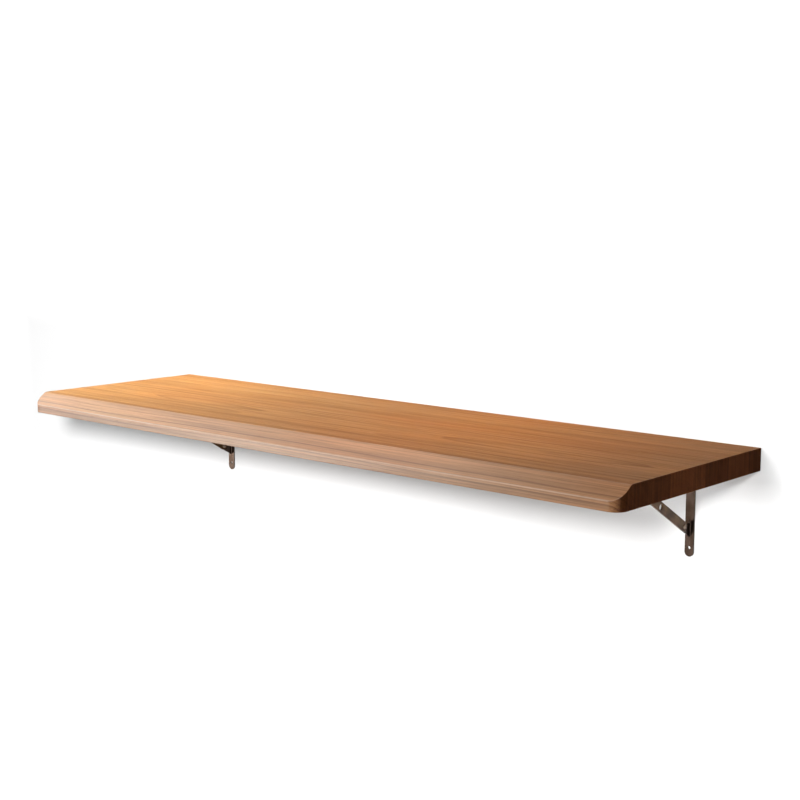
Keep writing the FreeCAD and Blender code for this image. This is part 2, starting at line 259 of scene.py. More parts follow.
def timber_group() -> Tree:
    """Solid timber: growth rings about a wandering pith, fibres and pores that run along X.

    Returns:
        A group that gives the colour, roughness and height anywhere in the wood.
    """
    graph, given, result = new_group(
        "timber",
        {
            "place": VECTOR, "surface": VECTOR, "light": COLOUR, "dark": COLOUR,
            "pith_y": FLOAT, "pith_z": FLOAT, "ring_width": FLOAT, "wander": FLOAT,
            "shift": FLOAT, "ring_strength": FLOAT, "end_tone": FLOAT, "painted_highlight": FLOAT,
        },
        {"Color": COLOUR, "Roughness": FLOAT, "Height": FLOAT},
    )
    place, early, late = given["place"], given["light"], given["dark"]
    x, *across = graph.node("ShaderNodeSeparateXYZ", {0: place}).outputs

    # The pith isn't straight, so the rings run out of the flat faces in long arches.
    along = graph.math("ADD", graph.math("MULTIPLY", x, 1.15), given["shift"])
    from_pith = []
    for axis, level, stretch in zip("yz", across, (0.0, 37.0)):
        sway = graph.centred(graph.wave(graph.math("ADD", along, stretch), 2.0))
        pith = graph.math("MULTIPLY_ADD", sway, given["wander"], given[f"pith_{axis}"])
        from_pith.append(graph.math("SUBTRACT", level, pith))
    out, up = from_pith
    square = graph.math("MULTIPLY_ADD", out, out, graph.math("MULTIPLY", up, up))
    radius = graph.math("SQRT", square)
    for scale, depth in (((1.4, 9.0, 9.0), 9.0 * MM), ((7.0, 70.0, 70.0), 1.1 * MM)):
        bend = graph.centred(graph.noise(place, scale))
        radius = graph.math("ADD", radius, graph.math("MULTIPLY", bend, depth))
    years = graph.math("DIVIDE", radius, given["ring_width"])
    uneven = graph.wave(graph.math("MULTIPLY", years, 0.37))
    years = graph.math("ADD", years, graph.math("MULTIPLY", uneven, 2.4))
    phase = graph.math("FRACT", years)
    growth = graph.math("POWER", phase, 3.0)
    summer = graph.math("MULTIPLY", growth, graph.remap(phase, 0.90, 1.0, (1.0, 0.0)))
    year = graph.math("ADD", graph.math("FLOOR", years), given["shift"])
    chance = graph.out("ShaderNodeTexWhiteNoise", {"W": year}, noise_dimensions="1D")
    vigour = graph.math("MULTIPLY_ADD", chance, 0.75, 0.25)
    ring = graph.math("MULTIPLY", graph.math("MULTIPLY", summer, vigour), given["ring_strength"])

    fibre = graph.noise(place, (5.0, 420.0, 420.0), 3.0, 0.6)
    streak = graph.noise(place, (1.1, 55.0, 55.0), 3.0, 0.6)
    cloud = graph.remap(graph.noise(place, (2.2, 5.0, 5.0)), 0.35, 0.75, (0.0, 0.22))
    pore = graph.remap(graph.noise(place, (45.0, 1500.0, 1500.0), 1.0), 0.60, 0.72, (0.0, 1.0))
    pore = graph.math("MULTIPLY", pore, graph.remap(phase, 0.0, 0.45, (1.0, 0.25)))

    sunny, shade, hollow = paint(205, 150, 105), paint(168, 160, 152), paint(70, 42, 26)
    wood = graph.mix(ring, early, late)
    wood = graph.mix(graph.remap(streak, 0.40, 0.70, (0.0, 0.36)), wood, late)
    wood = graph.mix(cloud, wood, sunny, "SOFT_LIGHT")
    shaded = graph.mix(1.0, wood, shade, "MULTIPLY")
    wood = graph.mix(graph.remap(fibre, 0.42, 0.66, (0.0, 0.5)), wood, shaded)
    wood = graph.mix(graph.math("MULTIPLY", pore, 0.45), wood, hollow)
    # Painted highlight: where a finish asks for it, the colour is lifted pale, as the glint along
    # the front arris.
    highlight_share = graph.math("MULTIPLY", graph.remap(streak, 0.25, 0.65, (1.0, 0.6)), given["painted_highlight"])
    wood = graph.mix(highlight_share, wood, paint(236, 210, 188))

    # Sawn across the grain, the wood drinks the oil and is darker.
    facing = graph.out("ShaderNodeSeparateXYZ", {0: given["surface"]})
    sawn = graph.remap(graph.math("ABSOLUTE", facing), 0.40, 0.96, (0.0, 1.0))
    oil = graph.mix(given["end_tone"], (0.0, 0.0, 0.0), (1.0, 0.66, 0.52))
    marks = graph.noise(place, (60.0, 190.0, 10.0), 3.0, 0.65)
    soaked = graph.mix(1.0, graph.mix(0.55, wood, early), oil, "MULTIPLY")
    marks = graph.remap(marks, 0.35, 0.70, (0.0, 0.32))
    soaked = graph.mix(marks, soaked, (0.012, 0.005, 0.002))
    graph.feed(result["Color"], graph.mix(sawn, wood, soaked))

    satin = graph.math("MULTIPLY_ADD", fibre, 0.14, 0.36)
    satin = graph.math("MULTIPLY_ADD", pore, 0.2, satin)
    graph.feed(result["Roughness"], graph.math("MULTIPLY_ADD", sawn, 0.25, satin))
    height = graph.math("MULTIPLY_ADD", fibre, 0.5, graph.math("MULTIPLY", ring, 0.25))
    graph.feed(result["Height"], graph.math("MULTIPLY_ADD", pore, -0.8, height))
    return graph.tree


def brushing_group() -> Tree:
    """Steel that has been drawn and brushed one way: fine scratches, and slow change of tone.

    Returns:
        A group that gives a mask of the scratches, the tone, the roughness and the height.
    """
    graph, given, result = new_group(
        "brushing",
        {"Place": VECTOR, "Grit": 0.5},
        {"Scratches": FLOAT, "Tone": FLOAT, "Roughness": FLOAT, "Height": FLOAT},
    )
    place = given["Place"]
    fine = graph.noise(place, (2600.0, 45.0, 2600.0), 2.0, 0.7)
    coarse = graph.noise(place, (700.0, 14.0, 700.0), 2.0, 0.6)
    patch = graph.noise(place, (28.0, 22.0, 28.0), 3.0, 0.55)
    scratches = graph.math("MULTIPLY_ADD", fine, 0.6, graph.math("MULTIPLY", coarse, 0.4))
    graph.feed(result["Scratches"], graph.remap(scratches, 0.35, 0.65, (0.0, 1.0)))
    graph.feed(result["Tone"], graph.remap(patch, 0.35, 0.65, (0.0, 1.0)))
    rough = graph.math("MULTIPLY", graph.remap(scratches, 0.3, 0.7, (0.08, 0.30)), given["Grit"])
    graph.feed(result["Roughness"], graph.math("MULTIPLY_ADD", patch, 0.10, rough))
    graph.feed(result["Height"], scratches)
    return graph.tree


# --- Shapes that repeat ----------------------------------------------------------------------


def swept(graph: Graph, path: Socket, sides: int, radius: Value) -> Socket:
    """A closed solid of round section along a path.

    Args:
        graph: the geometry tree.
        path: the curve that it follows.
        sides: the faces round it.
        radius: its radius at each step of the path.

    Returns:
        The solid's geometry.
    """
    ring = graph.out("GeometryNodeCurvePrimitiveCircle", {"Resolution": sides, "Radius": 1.0})
    parts = {"Curve": path, "Profile Curve": ring, "Scale": radius, "Fill Caps": True}
    return graph.out("GeometryNodeCurveToMesh", parts)


def turned(graph: Graph, stations: list[tuple[Value, Value]], sides: int) -> Socket:
    """A closed solid turned about Z.

    Args:
        graph: the geometry tree.
        stations: its height and radius at each step along the axis, from the lowest up.
        sides: the faces round it.

    Returns:
        The solid's geometry.
    """
    axis = graph.out("GeometryNodeCurvePrimitiveLine")
    steps = graph.out("GeometryNodeResampleCurve", {"Curve": axis, "Count": len(stations)})
    index = graph.node("GeometryNodeSplineParameter").outputs["Index"]
    height: Value = 0.0
    radius: Value = 0.0
    for number, (level, width) in enumerate(stations):
        here = graph.math("COMPARE", index, float(number), 0.1)
        height = graph.math("MULTIPLY_ADD", here, level, height)
        radius = graph.math("MULTIPLY_ADD", here, width, radius)
    spot = graph.out("ShaderNodeCombineXYZ", {"Z": height})
    moved = graph.out("GeometryNodeSetPosition", {"Geometry": steps, "Position": spot})
    return swept(graph, moved, sides, radius)


def thinned(graph: Graph, width: Value, least: float) -> Socket:
    """Thins a run towards both its ends.

    Args:
        graph: the geometry tree.
        width: the run's width.
        least: the share of it that is left at the ends.

    Returns:
        The new width.
    """
    end = 0.06
    along = graph.node("GeometryNodeSplineParameter").outputs["Factor"]
    width = graph.math("MULTIPLY", width, graph.remap(along, 0.0, end, (least, 1.0)))
    return graph.math("MULTIPLY", width, graph.remap(along, 1.0 - end, 1.0, (1.0, least)))


def faced(graph: Graph, shapes: Socket, material: Socket) -> Socket:
    """Makes shapes into real faces, and gives them their material."""
    real = graph.out("GeometryNodeRealizeInstances", {0: shapes})
    return graph.out("GeometryNodeSetMaterial", {"Geometry": real, "Material": material})


def set_out(graph: Graph, spots: Socket, shape: Socket, material: Socket) -> Socket:
    """Puts a shape of a material on every spot."""
    placed = graph.out("GeometryNodeInstanceOnPoints", {"Points": spots, "Instance": shape})
    return faced(graph, placed, material)


def rivet_tree() -> Tree:
    """A round-headed rivet on each point: its shank runs from the point along +X to its head.

    Returns:
        The geometry tree.
    """
    graph, given, result = new_group(
        "round_head_rivets",
        {
            "Spots": GEOMETRY, "Material": MATERIAL, "Grip": FLOAT, "Shank Radius": FLOAT,
            "Head Radius": FLOAT, "Head Height": FLOAT,
        },
        {"Rivets": GEOMETRY},
        "GeometryNodeTree",
    )
    shank, grip, head = given["Shank Radius"], given["Grip"], given["Head Radius"]
    neck, sides, steps, dome = 0.02 * MM, 40, 10, math.radians(86.0)
    chamfer = graph.math("MULTIPLY", shank, 0.06)
    stations: list[tuple[Value, Value]] = [
        (0.0, graph.math("SUBTRACT", shank, chamfer)),
        (chamfer, shank),
        (graph.math("SUBTRACT", grip, neck), shank),
    ]
    for step in range(steps):
        angle = dome * step / (steps - 1)
        level = graph.math("MULTIPLY_ADD", given["Head Height"], math.sin(angle), grip)
        stations.append((level, graph.math("MULTIPLY", head, math.cos(angle))))
    upright = turned(graph, stations, sides)
    to_x = (0.0, math.radians(90.0), 0.0)
    laid = graph.out("GeometryNodeTransform", {"Geometry": upright, "Rotation": to_x})
    graph.feed(result["Rivets"], set_out(graph, given["Spots"], laid, given["Material"]))
    return graph.tree


def screw_tree() -> Tree:
    """A countersunk wood screw on each point: its head's face is on the point, its tip above.

    Returns:
        The geometry tree.
    """
    graph, given, result = new_group(
        "countersunk_wood_screws",
        {
            "Spots": GEOMETRY, "Material": MATERIAL, "Head Radius": FLOAT, "Length": FLOAT,
            "Head Height": 2.6 * MM, "Shank Radius": 2.3 * MM, "Core Radius": 1.7 * MM,
            "Plain Length": 11.0 * MM, "Tip Length": 5.0 * MM, "Thread Height": 0.7 * MM,
            "Turns": 11.0, "Recess Width": 5.4 * MM, "Recess Arm": 1.1 * MM,
            "Recess Depth": 1.5 * MM,
        },
        {"Screws": GEOMETRY},
        "GeometryNodeTree",
    )
    edge, rim, neck, lead = 0.1 * MM, 0.3 * MM, 1.0 * MM, 0.8 * MM
    head, shank, core = given["Head Radius"], given["Shank Radius"], given["Core Radius"]
    plain, length = given["Plain Length"], given["Length"]
    taper = graph.math("SUBTRACT", length, given["Tip Length"])
    stations: list[tuple[Value, Value]] = [
        (0.0, graph.math("SUBTRACT", head, edge)),
        (edge, head),
        (rim, head),
        (given["Head Height"], shank),
        (plain, shank),
        (graph.math("ADD", plain, neck), core),
        (taper, core),
        (length, edge),
    ]
    cut = graph.node("GeometryNodeMeshBoolean", operation="DIFFERENCE", solver="EXACT")
    graph.feed(cut.inputs["Mesh 1"], turned(graph, stations, sides=28))
    deep = graph.math("MULTIPLY", given["Recess Depth"], 2.0)
    for wide, long in (("Recess Width", "Recess Arm"), ("Recess Arm", "Recess Width")):
        sizes = {"X": given[wide], "Y": given[long], "Z": deep}
        size = graph.out("ShaderNodeCombineXYZ", sizes)
        graph.feed(cut.inputs["Mesh 2"], graph.out("GeometryNodeMeshCube", {"Size": size}))
    coil = {
        "Resolution": 20,
        "Rotations": given["Turns"],
        "Start Radius": core,
        "End Radius": core,
        "Height": graph.math("SUBTRACT", taper, plain),
    }
    lift = graph.out("ShaderNodeCombineXYZ", {"Z": graph.math("ADD", plain, lead)})
    helix = {"Geometry": graph.out("GeometryNodeCurveSpiral", coil), "Translation": lift}
    raised = graph.out("GeometryNodeTransform", helix)
    steady = graph.out("GeometryNodeSetCurveNormal", {"Curve": raised}, mode="Z_UP")
    ridge = thinned(graph, given["Thread Height"], least=0.15)
    whole = graph.node("GeometryNodeJoinGeometry")
    for part in (cut.outputs["Mesh"], swept(graph, steady, sides=4, radius=ridge)):
        graph.feed(whole.inputs[0], part)
    screws = set_out(graph, given["Spots"], whole.outputs[0], given["Material"])
    graph.feed(result["Screws"], screws)
    return graph.tree


def weld_tree() -> Tree:
    """A rippled weld bead along each edge.

    Returns:
        The geometry tree.
    """
    graph, given, result = new_group(
        "weld_beads",
        {
            "Runs": GEOMETRY, "Material": MATERIAL, "Bead Radius": FLOAT,
            "Ripple Spacing": 0.8 * MM, "Ripple Depth": 0.08, "Seed": 3.0,
        },
        {"Beads": GEOMETRY},
        "GeometryNodeTree",
    )
    runs = graph.out("GeometryNodeMeshToCurve", {"Mesh": given["Runs"]})
    spacing = {"Curve": runs, "Length": given["Ripple Spacing"]}
    steps = graph.out("GeometryNodeResampleCurve", spacing, mode="LENGTH")
    _, length, index = graph.node("GeometryNodeSplineParameter").outputs
    wobbles_a_metre, swing = 260.0, 0.25
    ripple = graph.math("MULTIPLY", graph.math("PINGPONG", index, 1.0), given["Ripple Depth"])
    wander = graph.wave(graph.math("MULTIPLY_ADD", length, wobbles_a_metre, given["Seed"]))
    swell = graph.math("MULTIPLY_ADD", graph.centred(wander), swing, 1.0)
    width = thinned(graph, graph.math("SUBTRACT", swell, ripple), least=0.55)
    radius = graph.math("MULTIPLY", width, given["Bead Radius"])
    bead = swept(graph, steps, sides=12, radius=radius)
    graph.feed(result["Beads"], faced(graph, bead, given["Material"]))
    return graph.tree


def baked(
    name: str,
    points: list[Vector],
    edges: list[tuple[int, int]],
    tree: Tree,
    values: dict[str, object],
) -> Piece:
    """Runs a geometry tree on points or edges and keeps the faces that it makes.

    Args:
        name: the piece's name.
        points: the points.
        edges: pairs of places in that list, where the tree follows edges.
        tree: the geometry tree.
        values: its inputs, by name.

    Returns:
        The piece, as a plain mesh with no modifier.
    """
    crease = math.radians(35.0)
    seeds = bpy.data.meshes.new(f"{name}_spots")
    seeds.from_pydata(points, edges, [])
    piece = bpy.data.objects.new(name, seeds)
    bpy.context.scene.collection.objects.link(piece)
    maker = piece.modifiers.new("maker", "NODES")
    maker.node_group = tree
    for item in tree.interface.items_tree:
        if item.name in values and item.in_out == "INPUT":
            maker[item.identifier] = values[item.name]
    bpy.context.view_layer.update()
    solid = piece.evaluated_get(bpy.context.evaluated_depsgraph_get())
    mesh = bpy.data.meshes.new_from_object(solid)
    piece.modifiers.clear()
    piece.data = mesh
    bpy.data.meshes.remove(seeds)
    smooth(mesh, crease)
    return piece


def smooth(mesh: bpy.types.Mesh, crease: float) -> None:
    """Shades a mesh smoothly, apart from its sharp edges.

    Args:
        mesh: the mesh.
        crease: the angle from which an edge is sharp, in radians.
    """
    for face in mesh.polygons:
        face.use_smooth = True
    mesh.set_sharp_from_angle(angle=crease)


# --- Finishes --------------------------------------------------------------------------------


@dataclass(frozen=True)
class Stave:
    """How one stave of the top was cut from its log, and its own tone.

    Attributes:
        node: its name in the frame.
        pith_out: the log's centre, out from the wall.
        pith_down: the log's centre, below the work surface; negative is above it.
        ring_width: the width of a year's growth.
        wander: how far the pith strays along the board.
        shift: which stretch of log it comes from.
        light: the colour of the spring growth.
        dark: the colour of the summer growth.
        ring_strength: how much darker the summer growth is, from 0 to 1.
        end_tone: how much light its sawn ends keep, from 0 to 1.
    """

    node: str
    pith_out: float
    pith_down: float
    ring_width: float
    wander: float
    shift: float
    light: Colour
    dark: Colour
    ring_strength: float
    end_tone: float


@dataclass(frozen=True)
class Varnish:
    """A thin clear finish over timber.

    Attributes:
        name: the finish's name.
        shine: the strength of its reflection; 0.5 is a full gloss varnish's.
        relief: the depth of the grain that can be felt through it.
        painted_highlight: how far its colour is lifted pale, as a painted highlight, from 0 to 1.
        felt: how much of the relief shows, from 0 to 1.
    """

    name: str
    shine: float
    relief: float
    painted_highlight: float = 0.0
    felt: float = 0.35

    def material(self, stave: Stave, surface_height: float, grain: Tree) -> Material:
        """The finished timber of one stave.

        Args:
            stave: how the stave was cut.
            surface_height: the height of the work surface.
            grain: the timber group.

        Returns:
            The material.
        """
        made, graph = new_material(f"{self.name}_{stave.node}")
        where = graph.node("ShaderNodeTexCoord")
        values = {
            **asdict(stave),
            "place": where.outputs["Object"],
            "surface": where.outputs["Normal"],
            "pith_y": -stave.pith_out,
            "pith_z": surface_height - stave.pith_down,
            "painted_highlight": self.painted_highlight,
        }
        wood = graph.node("ShaderNodeGroup", node_tree=grain)
        for given in wood.inputs:
            graph.feed(given, values[given.name])
        colour, roughness, height = wood.outputs
        bump = {"Strength": self.felt, "Distance": self.relief, "Height": height}
        shader = {
            "Base Color": colour,
            "Roughness": roughness,
            "Normal": graph.out("ShaderNodeBump", bump),
            "Specular IOR Level": self.shine,
        }
        graph.show(graph.out("ShaderNodeBsdfPrincipled", shader))
        return made


@dataclass(frozen=True)
class Steel:
    """A brushed steel.

    Attributes:
        name: the finish's name.
        clean: its colour on the crests.
        stained: its colour where the tone is darker.
        grit: how coarse the brushing is, from 0 to 1.
        polish: its roughness before brushing.
        relief: the depth of the scratches.
        brushing: the way the brushing runs, as its slope from level, in radians.
        felt: how much of the relief shows, from 0 to 1.
    """

    name: str
    clean: Colour
    stained: Colour
    grit: float
    polish: float
    relief: float
    brushing: float
    felt: float = 0.5

    def material(self, brushing: Tree) -> Material:
        """The finish as a material.

        Args:
            brushing: the brushing group.

        Returns:
            The material.
        """
        made, graph = new_material(self.name)
        place = graph.node("ShaderNodeTexCoord").outputs["Object"]
        if self.brushing:
            turn = {"Vector": place, "Angle": self.brushing}
            place = graph.out("ShaderNodeVectorRotate", turn, rotation_type="X_AXIS")
        streaks = graph.node("ShaderNodeGroup", node_tree=brushing)
        graph.feed(streaks.inputs["Place"], place)
        graph.feed(streaks.inputs["Grit"], self.grit)
        scratches, patches, roughness, height = streaks.outputs
        tone = graph.mix(patches, self.clean, self.stained)
        lined = graph.mix(1.0, tone, paint(205, 203, 200), "MULTIPLY")
        bump = {"Strength": self.felt, "Distance": self.relief, "Height": height}
        shader = {
            "Base Color": graph.mix(scratches, lined, tone),
            "Metallic": 1.0,
            "Roughness": graph.math("ADD", roughness, self.polish),
            "Normal": graph.out("ShaderNodeBump", bump),
        }
        graph.show(graph.out("ShaderNodeBsdfPrincipled", shader))
        return made


# --- Meshes ----------------------------------------------------------------------------------


def slot_of(node: str) -> str:
    """The record's material slot of a CAD node."""
    rows = frame["record"]["subparts"]
    return next(row["material_slot"] for row in rows if row["node"] == node)


def body_of(node: str) -> str:
    """The body that a CAD node rides on."""
    bodies = frame["record"]["behaviour"]["bodies"]
    return next(body for body, members in bodies.items() if node in members)


def eased(
    node: str, ease: float, segments: int, wanted: Callable[[Vector], bool] = lambda middle: True
) -> Piece:
    """A copy of a CAD node whose sharp arrises are softly rounded.

    Args:
        node: the CAD node to stand for.
        ease: how far the rounding reaches on each face.
        segments: the faces across the rounding.
        wanted: says of an arris's middle whether it is rounded.

    Returns:
        The new piece, which replaces the node and rides on its body.
    """
    sharp, flat, weld = math.radians(28.0), math.radians(0.4), 0.5e-6
    shell = bmesh.new()
    shell.from_mesh(frame["nodes"][node].data)
    bmesh.ops.remove_doubles(shell, verts=shell.verts, dist=weld)
    bmesh.ops.dissolve_limit(shell, angle_limit=flat, verts=shell.verts, edges=shell.edges)
    arrises = [
        edge
        for edge in shell.edges
        if len(edge.link_faces) == 2
        and edge.calc_face_angle() > sharp
        and wanted((edge.verts[0].co + edge.verts[1].co) / 2)
    ]
    rounding = {"offset": ease, "offset_type": "OFFSET", "segments": segments, "profile": 0.5}
    bmesh.ops.bevel(shell, geom=arrises, affect="EDGES", clamp_overlap=True, **rounding)
    low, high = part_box(node)
    for corner in shell.verts:
        corner.co = [min(max(here, least), most) for here, least, most in zip(corner.co, low, high)]
    mesh = bpy.data.meshes.new(f"{node}_eased")
    shell.to_mesh(mesh)
    shell.free()
    smooth(mesh, sharp)
    piece = bpy.data.objects.new(f"{node}_eased", mesh)
    bpy.context.scene.collection.objects.link(piece)
    settle = piece.modifiers.new("even_faces", "WEIGHTED_NORMAL")
    settle.keep_sharp = True
    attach(piece, body_of(node))
    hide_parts(node)
    slot_of(node)
    return piece


def dress(
    piece: Piece, materials: list[Material], choose: Callable[[Vector], int] = lambda normal: 0
) -> None:
    """Gives each face of a piece its material.

    Args:
        piece: the piece.
        materials: what it is finished with.
        choose: the place in that list of a face's material, from the way the face looks.
    """
    piece.data.materials.clear()
    for material in materials:
        piece.data.materials.append(material)
    for face in piece.data.polygons:
        face.material_index = choose(face.normal)


# --- The wooden top --------------------------------------------------------------------------


@dataclass
class WoodenTop:
    """The glued-up top: six staves, whose outer arrises are rounded and whose joints are flush.

    Attributes:
        staves: how each stave was cut, from the wall outwards.
        ease: how far the rounding of the outer arrises reaches.
        rounding: the faces across it.
        margin: how near a glued joint an arris counts as part of it.
        satin: the finish of its edges and its underside.
        rubbed: the finish of the work surface, which is rubbed down matt.
        end_seal: the finish of its sawn ends.
        arris_glint_finish: the finish of the front arris: a high gloss, and a pale colour that is a
            painted highlight.
        level: how squarely a face of the work surface looks up, from 0 to 1.
        square: how squarely a face of a sawn end looks along X, from 0 to 1.
        arris_up: how squarely a face of the front arris looks up, at least and at most.
        arris_out: how squarely a face of the front arris looks out, at least.
    """

    staves: tuple[Stave, ...]
    ease: float = 0.8 * MM
    rounding: int = 3
    margin: float = 0.2 * MM
    satin: Varnish = Varnish("satin_varnish", shine=0.22, relief=0.05 * MM)
    rubbed: Varnish = Varnish("rubbed_varnish", shine=0.007, relief=0.05 * MM)
    end_seal: Varnish = Varnish("end_seal", shine=0.02, relief=0.08 * MM)
    # The front arris has a high gloss, and a pale colour that is a painted highlight.
    arris_glint_finish: Varnish = Varnish("arris_varnish_painted_glint", shine=0.6, relief=0.02 * MM, painted_highlight=0.3)
    level: float = 0.97
    square: float = 0.8
    arris_up: tuple[float, float] = (0.15, 0.74)
    arris_out: float = 0.64

    def outer(self, node: str) -> Callable[[Vector], bool]:
        """Says which arrises of a stave lie on the outside of the whole top.

        Args:
            node: the stave.

        Returns:
            A test of an arris's middle: those along a glued joint fail it.
        """
        first, last = self.staves[0].node, self.staves[-1].node
        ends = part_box(first)[1].y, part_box(last)[0].y
        sides = [corner.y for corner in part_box(node)]
        joints = [y for y in sides if all(abs(y - end) > self.margin for end in ends)]

        def test(middle: Vector) -> bool:
            """Whether an arris's middle is off every joint."""
            return all(abs(middle.y - joint) > self.margin for joint in joints)

        return test

    def face_of(self, normal: Vector) -> Face:
        """The kind of a face.

        Args:
            normal: the way the face looks.

        Returns:
            Its kind.
        """
        if abs(normal.x) > self.square:
            return Face.SAWN_END
        if normal.z > self.level:
            return Face.WORK_SURFACE
        least, most = self.arris_up
        front = least < normal.z < most and normal.y < -self.arris_out
        return Face.FRONT_ARRIS if front else Face.EDGE

    def build(self, grain: Tree) -> Iterable[Piece]:
        """Makes and dresses the staves.

        Args:
            grain: the timber group.

        Yields:
            Each stave.
        """
        surface_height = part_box(self.staves[0].node)[1].z
        finishes = (self.satin, self.rubbed, self.end_seal, self.arris_glint_finish)
        for stave in self.staves:
            piece = eased(stave.node, self.ease, self.rounding, self.outer(stave.node))
            made = [finish.material(stave, surface_height, grain) for finish in finishes]
            dress(piece, made, self.face_of)
            yield piece


def top() -> WoodenTop:
    """The top, with its staves as they were cut, from the wall outwards.

    Returns:
        The top, not yet built.
    """
    light, dark = paint(184, 133, 90), paint(116, 76, 49)
    mellow, deep = paint(180, 128, 85), paint(112, 72, 46)
    burnt = paint(92, 55, 33)
    # Each row: node, pith out and down, ring width, wander, shift, tones, ring strength, end tone.
    return WoodenTop(
        staves=(
            Stave("stave_1", -0.360, 0.010, 5.0 * MM, 8 * MM, 3.1, mellow, deep, 0.55, 0.32),
            Stave("stave_2", 0.420, 0.050, 5.5 * MM, 9 * MM, 11.7, light, dark, 0.55, 0.42),
            Stave("stave_3", -0.150, 0.060, 5.0 * MM, 10 * MM, 23.2, mellow, deep, 0.6, 0.36),
            Stave("stave_4", 0.370, 0.110, 6.5 * MM, 24 * MM, 31.9, light, dark, 0.8, 0.60),
            Stave("stave_5", 0.440, 0.090, 6.5 * MM, 22 * MM, 44.4, light, dark, 0.7, 0.40),
            Stave("stave_6", 0.700, 0.170, 6.5 * MM, 9 * MM, 57.3, light, burnt, 1.0, 0.38),
        )
    )


# --- The brackets ----------------------------------------------------------------------------


@dataclass
class FoldingBracket:
    """One bracket: wall arm, lugs, hinge, shelf arm, strut and catch.

    Attributes:
        side: which bracket.
        ease: how far the rounding of its sheared edges reaches.
        rounding: the faces across it.
    """

    side: Side
    ease: float = 0.35 * MM
    rounding: int = 2

    def node(self, piece: str) -> str:
        """The full name of one of this bracket's nodes."""
        return f"{piece}_{self.side.value}"

    def strut_slope(self) -> float:
        """The strut's slope from level, from its two pivots.

        Returns:
            The slope, in radians.
        """
        low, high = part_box(self.node("strut_rivet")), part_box(self.node("catch_pin"))
        foot, head = (low[0] + low[1]) / 2, (high[0] + high[1]) / 2
        return math.atan2(head.z - foot.z, foot.y - head.y)

    def build(self, steels: dict[str, Material]) -> Iterable[Piece]:
        """Makes and dresses the bracket's bars and plates.

        Args:
            steels: the material of each kind of piece.

        Yields:
            Each piece.
        """
        for piece, material in steels.items():
            made = eased(self.node(piece), self.ease, self.rounding)
            dress(made, [material])
            yield made


